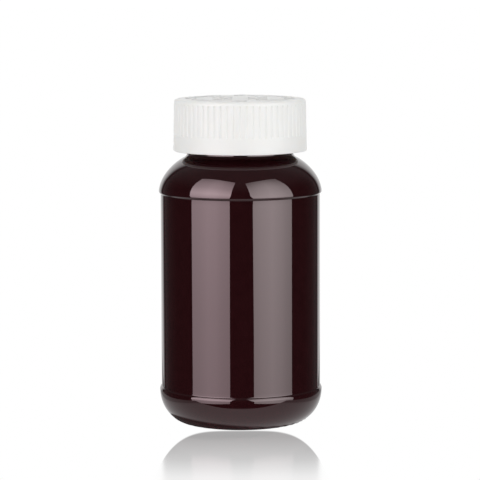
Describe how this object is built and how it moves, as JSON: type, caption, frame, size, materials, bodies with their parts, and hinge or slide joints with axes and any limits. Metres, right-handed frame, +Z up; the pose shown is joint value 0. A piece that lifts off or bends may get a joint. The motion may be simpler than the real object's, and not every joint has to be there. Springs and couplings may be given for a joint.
{
  "type": "child-resistant packer bottle",
  "caption": "Dark glossy round wide-mouth pill bottle with a recessed label panel and a white ribbed push-down-and-turn screw cap over a liner.",
  "frame": {"origin": "middle of the base, on the plane of the contact ring", "axes": "+Z up along the bottle's axis to the cap; -Y is the front, where one groove of the cap is centred; +X is to the right"},
  "size_m": [0.065, 0.065, 0.1299],
  "materials": {
    "dark_pet": "high gloss, dark red-brown tinted PET, nearly opaque",
    "foil": "bright foil laminate",
    "pulp_board": "matt pressed pulp",
    "inner_cap_plastic": "satin natural polypropylene",
    "outer_cap_plastic": "satin white polypropylene"
  },
  "bodies": {
    "bottle": {"bottle": "dark_pet"},
    "liner": {"liner_board": "pulp_board", "foil_seal": "foil"},
    "inner_cap": {"inner_cap": "inner_cap_plastic"},
    "spring_fingers": {"spring_fingers": "outer_cap_plastic"},
    "outer_cap": {"outer_cap": "outer_cap_plastic"}
  },
  "joints": [
    {"name": "thread_lift", "type": "slide", "parent": "bottle", "child": "liner", "axis": [0, 0, 1], "range_m": [0, 0.01693]},
    {"name": "cap_turn", "type": "hinge", "parent": "liner", "child": "inner_cap", "pos_m": [0, 0, 0.118], "axis": [0, 0, 1], "range_deg": [0, 1440]},
    {"name": "outer_spin", "type": "hinge", "parent": "inner_cap", "child": "spring_fingers", "pos_m": [0, 0, 0.118], "axis": [0, 0, 1], "continuous": true},
    {"name": "push_down", "type": "slide", "parent": "spring_fingers", "child": "outer_cap", "axis": [0, 0, -1], "range_m": [0, 0.00135], "stiffness_N_per_m": 12000, "springref_m": -0.0003, "deforming": ["spring_fingers"]}
  ],
  "couplings": [
    {"joint": "cap_turn", "follows": "thread_lift", "rad_per_m": 1484.2}
  ]
}
